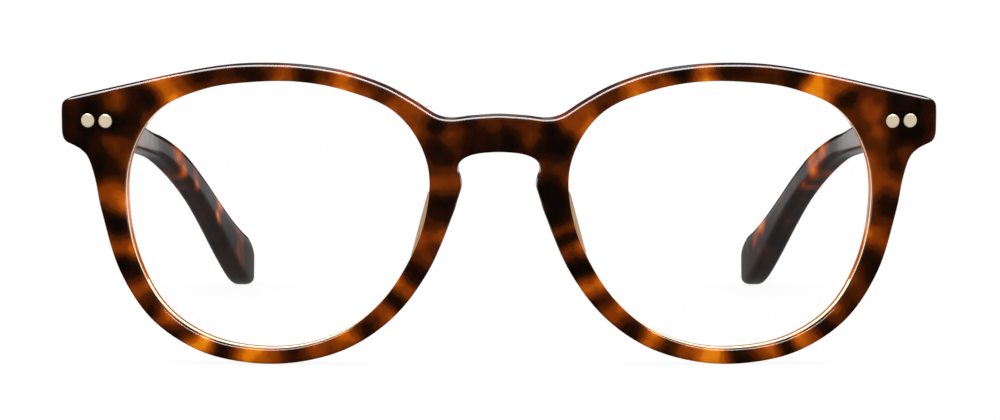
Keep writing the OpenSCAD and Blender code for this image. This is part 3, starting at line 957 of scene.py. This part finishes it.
# Patches on the temples: along, up from the middle, size, tone
templePatches = {
    -1: [(92, 0.8, 1.9, 1), (95, -1.2, 1.2, 0.7), (100, 0.9, 1.5, 0.6), (100.5, -0.9, 0.9, 0.95),
         (105, 0.2, 2.6, 0.06), (112.5, 1.8, 1.9, 1), (111.5, -1, 1.1, 1), (116, -0.2, 2.4, 0.06),
         (123, 1.5, 1.6, 0.55), (124, -1, 2.2, 0.42), (129, 1.8, 1.8, 0.1), (132.5, 0, 2, 0.12),
         (4, 0, 3, 0.05), (16, 0.6, 3, 0.7), (25, -0.6, 3, 0.15), (36, 0.4, 3.4, 0.65), (52, 0, 3, 0.7),
         (66, 0.4, 3.4, 0.4), (84, 0, 5, 0.1)],
    1: [(90, 0.8, 2.2, 1), (95, 0.9, 1.7, 0.85), (94, -1.1, 1.5, 0.8), (99, -1.3, 1.2, 0.8),
        (99.5, 0.6, 2, 0.06), (104, 0.8, 1.6, 0.45), (106, -0.6, 2.2, 0.06), (110, 1, 1.4, 0.5),
        (114, -0.4, 2.8, 0.05), (120, 2, 2, 1), (123, 1.2, 1.6, 0.8), (122, -1.4, 2.2, 0.2),
        (129, 1.4, 1.6, 0.3), (133, 0, 2, 0.08), (4, 0, 3, 0.05), (14, -0.4, 3, 0.6), (28, 0.5, 3, 0.7),
        (44, -0.3, 3.4, 0.55), (60, 0.3, 3, 0.5), (80, 0, 6, 0.1)],
}


def templeTone(side, point):
    up = point.z - templeAt(point.y).z
    drift = point / shell["templeBlotSize"] + Vector((side * shell["templeApart"], 0, 0))
    tone = shell["templeBase"] + shell["templeBlot"] * noise.noise(drift)
    tone = patched(tone, templePatches[side],
                   lambda py, pz: math.hypot((point.y - py) * shell["templeStretch"], up - pz))
    return tone + shell["blot"] * noise.noise(point / shell["templeFineSize"])


def setTone(obj, matrix, toneAt):
    back = matrix.inverted()
    data = obj.data.attributes.new("tone", "FLOAT", "POINT").data
    tones = [toneAt(back @ v.co) for v in obj.data.vertices]
    data.foreach_set("value", [min(acetate["span"], max(shell["least"], tone)) for tone in tones])


print("tortoiseshell pattern")
setTone(frontPiece, toTable, frontTone)
for side, obj in templePieces.items():
    setTone(obj, onSide(side, atTemple), lambda point, side=side: templeTone(side, point))


def dress(obj, *materials):      # keeps which face takes which of the materials
    slots = [p.material_index for p in obj.data.polygons]
    obj.data.materials.clear()
    for material in materials:
        obj.data.materials.append(material)
    obj.data.polygons.foreach_set("material_index", [min(i, len(materials) - 1) for i in slots])


def install(obj, body, slot, *replaced):
    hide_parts(*replaced)
    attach(obj, body)


print("dressing")
dress(frontPiece, acetatePaint("tortoiseshell_front"), acetatePaint("tortoiseshell_as_cut", False))
install(frontPiece, "front", "front_acetate", "front_frame")
templeShell = acetatePaint("tortoiseshell_temple")
clearLens, groundEdge, padResin = lensPaint(), bevelPaint(), padPaint()
rivetMetal = metalPaint("champagne_rivet", rgb(255, 236, 204), rough=0.3, metallic=0.15)
rivetNodes = rivetTree(rivetMetal)
for side, word in words.items():
    body = word + "_temple"
    dress(templePieces[side], templeShell)
    install(templePieces[side], body, "temple_acetate", "temple_" + word)
    dress(lensPieces[side], clearLens, groundEdge)
    install(lensPieces[side], "front", "clear_lens", "lens_" + word)
    dress(padPieces[side], padResin)
    install(padPieces[side], "front", "pad_resin", "nose_pad_" + word)
    places = [onSide(side, m) for m in templeRivets]
    heads = makeRivets("rivet_heads_temple_" + word, rivetNodes, places, rivetMetal)
    install(heads, body, "rivet_metal", "temple_rivet_front_" + word, "temple_rivet_rear_" + word)
places = [onSide(side, m) for side in words for m in frontRivets]
heads = makeRivets("rivet_heads_front", rivetNodes, places, rivetMetal)
install(heads, "front", "rivet_metal", *[n for n in sorted(nodes) if n.startswith("front_rivet")])

hardware = {
    "front_hinge": metalPaint("nickel_hinge", rgb(196, 190, 180), 0.26),
    "hinge_screw": metalPaint("steel_screw", rgb(206, 206, 208), 0.22),
    "temple_core": metalPaint("core_wire", rgb(186, 176, 156), 0.34),
}
hardware["temple_hinge"] = hardware["front_hinge"]
for name, obj in nodes.items():
    for start, material in hardware.items():
        if name.startswith(start):
            dress(obj, material)

# Floor, white to the camera but for a faint shadow
print("studio")
studio = {
    "floorHalf": 3.0, "floor": rgb(215, 215, 215), "floorVary": 0.97, "floorGrain": 30.0, "floorRough": 0.8,
    "floorShine": 0.1, "glow": 0.84, "white": 1.08, "fill": 1.0, "horizon": 0.24,
    "stripPower": 75.0, "stripPlace": (0, -0.1, 0.9), "stripLong": 1.7, "stripWide": 0.9,
}
# What gloss alone sees: from, to, and the light at each. Metres back on the floor, then ways across and up
cards = {"under": (-0.06, 0.02, 0, 0.22), "behind": (0.12, 0.4, 0, 0.5),
         "beside": (0.018, 0.036, 1, 0.15), "above": (0.4, 0.95, 0, 0.3)}


def makeFloor():
    h = studio["floorHalf"]
    obj = newMesh("floor", [(-h, -h, 0), (h, -h, 0), (h, h, 0), (-h, h, 0)], [(0, 1, 2, 3)])
    material, paint = newPaint("pale_floor")
    seen = paint.node("ShaderNodeLightPath", out="Is Camera Ray")
    gloss = paint.node("ShaderNodeLightPath", out="Is Glossy Ray")
    place = paint.objectPlace()
    grain = paint.noise(place, studio["floorGrain"])
    shade = paint.blend(grain, studio["floor"], darker(studio["floor"], studio["floorVary"]))
    lit = paint.node("ShaderNodeBsdfPrincipled", None, {
        "Base Color": shade, "Roughness": studio["floorRough"], "Specular IOR Level": studio["floorShine"]})
    glow = paint.node("ShaderNodeEmission", None, {"Color": (1, 1, 1, 1), "Strength": studio["white"]})
    white = paint.node("ShaderNodeMixShader", None, {0: seen * studio["glow"], 1: lit, 2: glow})
    # gloss sees the floor pale under and behind the temples, and dark in front, as a black card lies there
    away = paint.node("ShaderNodeSeparateXYZ", None, {0: place}, out="Y")
    light = paint.ramp(away, *cards["under"]) + paint.ramp(away, *cards["behind"])
    card = paint.node("ShaderNodeEmission", None, {"Color": (1, 1, 1, 1), "Strength": light})
    mix = paint.node("ShaderNodeMixShader", None, {0: gloss, 1: white, 2: card})
    paint.node("ShaderNodeOutputMaterial", None, {"Surface": mix})
    dress(obj, material)


def makeWorld():      # white to the camera, while gloss sees a backdrop behind and a softbox above
    world = bpy.data.worlds.new("studio")
    world.use_nodes = True
    bpy.context.scene.world = world
    paint = Paint(world.node_tree)
    way = paint.node("ShaderNodeTexCoord", out="Generated")
    across = paint.node("ShaderNodeSeparateXYZ", None, {0: way}, out="X")
    aside = paint.node("ShaderNodeMath", {"operation": "ABSOLUTE"}, {0: across})
    up = paint.node("ShaderNodeSeparateXYZ", None, {0: way}, out="Z")
    horizon = paint.ramp(aside, *cards["beside"]) * studio["horizon"]
    above = paint.ramp(up, *cards["above"])
    mirrored = paint.node("ShaderNodeMath", {"operation": "MAXIMUM"}, {0: horizon, 1: above})
    seen = paint.node("ShaderNodeLightPath", out="Is Camera Ray")
    gloss = paint.node("ShaderNodeLightPath", out="Is Glossy Ray")
    through = paint.node("ShaderNodeLightPath", out="Is Transmission Ray")
    white = paint.node("ShaderNodeMath", {"operation": "MAXIMUM"}, {0: seen, 1: through})
    other = gloss * mirrored + (1 - gloss) * studio["fill"]
    level = white + (1 - white) * other
    sky = paint.node("ShaderNodeBackground", None, {"Color": (1, 1, 1, 1), "Strength": level})
    paint.node("ShaderNodeOutputWorld", None, {"Surface": sky})


def makeStrip():      # a long strip overhead draws the line of light along the top edges
    light = bpy.data.lights.new("strip_light", "AREA")
    light.shape = "RECTANGLE"
    light.size, light.size_y = studio["stripLong"], studio["stripWide"]
    light.energy = studio["stripPower"]
    obj = bpy.data.objects.new("strip_light", light)
    obj.location = studio["stripPlace"]
    obj.rotation_euler = (-Vector(studio["stripPlace"])).to_track_quat("-Z", "Y").to_euler()
    obj.visible_camera = False
    obj.visible_diffuse = False
    bpy.context.scene.collection.objects.link(obj)


makeFloor()
makeWorld()
makeStrip()

# Camera: 0.7 m in front of the bridge, looking 8 degrees down on the front's own square
camera = {"away": 700.0, "down": 8.0, "above": 1.17, "aside": -1.2, "lens": 161.5, "sensor": 36.0,
          "picture": 1000, "axisPixel": 499.0, "seesTo": 50.0}
look = math.radians(camera["down"])
eye = Vector((camera["aside"], -camera["away"] * math.cos(look) + camera["above"] * math.sin(look),
              camera["away"] * math.sin(look) + camera["above"] * math.cos(look)))
camData = bpy.data.cameras.new("camera")
camObj = bpy.data.objects.new("camera", camData)
bpy.context.scene.collection.objects.link(camObj)
camData.sensor_width = camera["sensor"]
camData.lens = camera["lens"]
toAxis = 0.5 - camera["axisPixel"] / camera["picture"]
camData.shift_x = toAxis - camera["aside"] / camera["away"] * camera["lens"] / camera["sensor"]
camData.clip_end = camera["seesTo"]
camObj.location = toTable @ eye
camObj.rotation_euler = (math.radians(90 - camera["down"] + stand["lean"]), 0, 0)
bpy.context.scene.camera = camObj
bpy.context.scene.view_settings.view_transform = "Standard"

print("done")
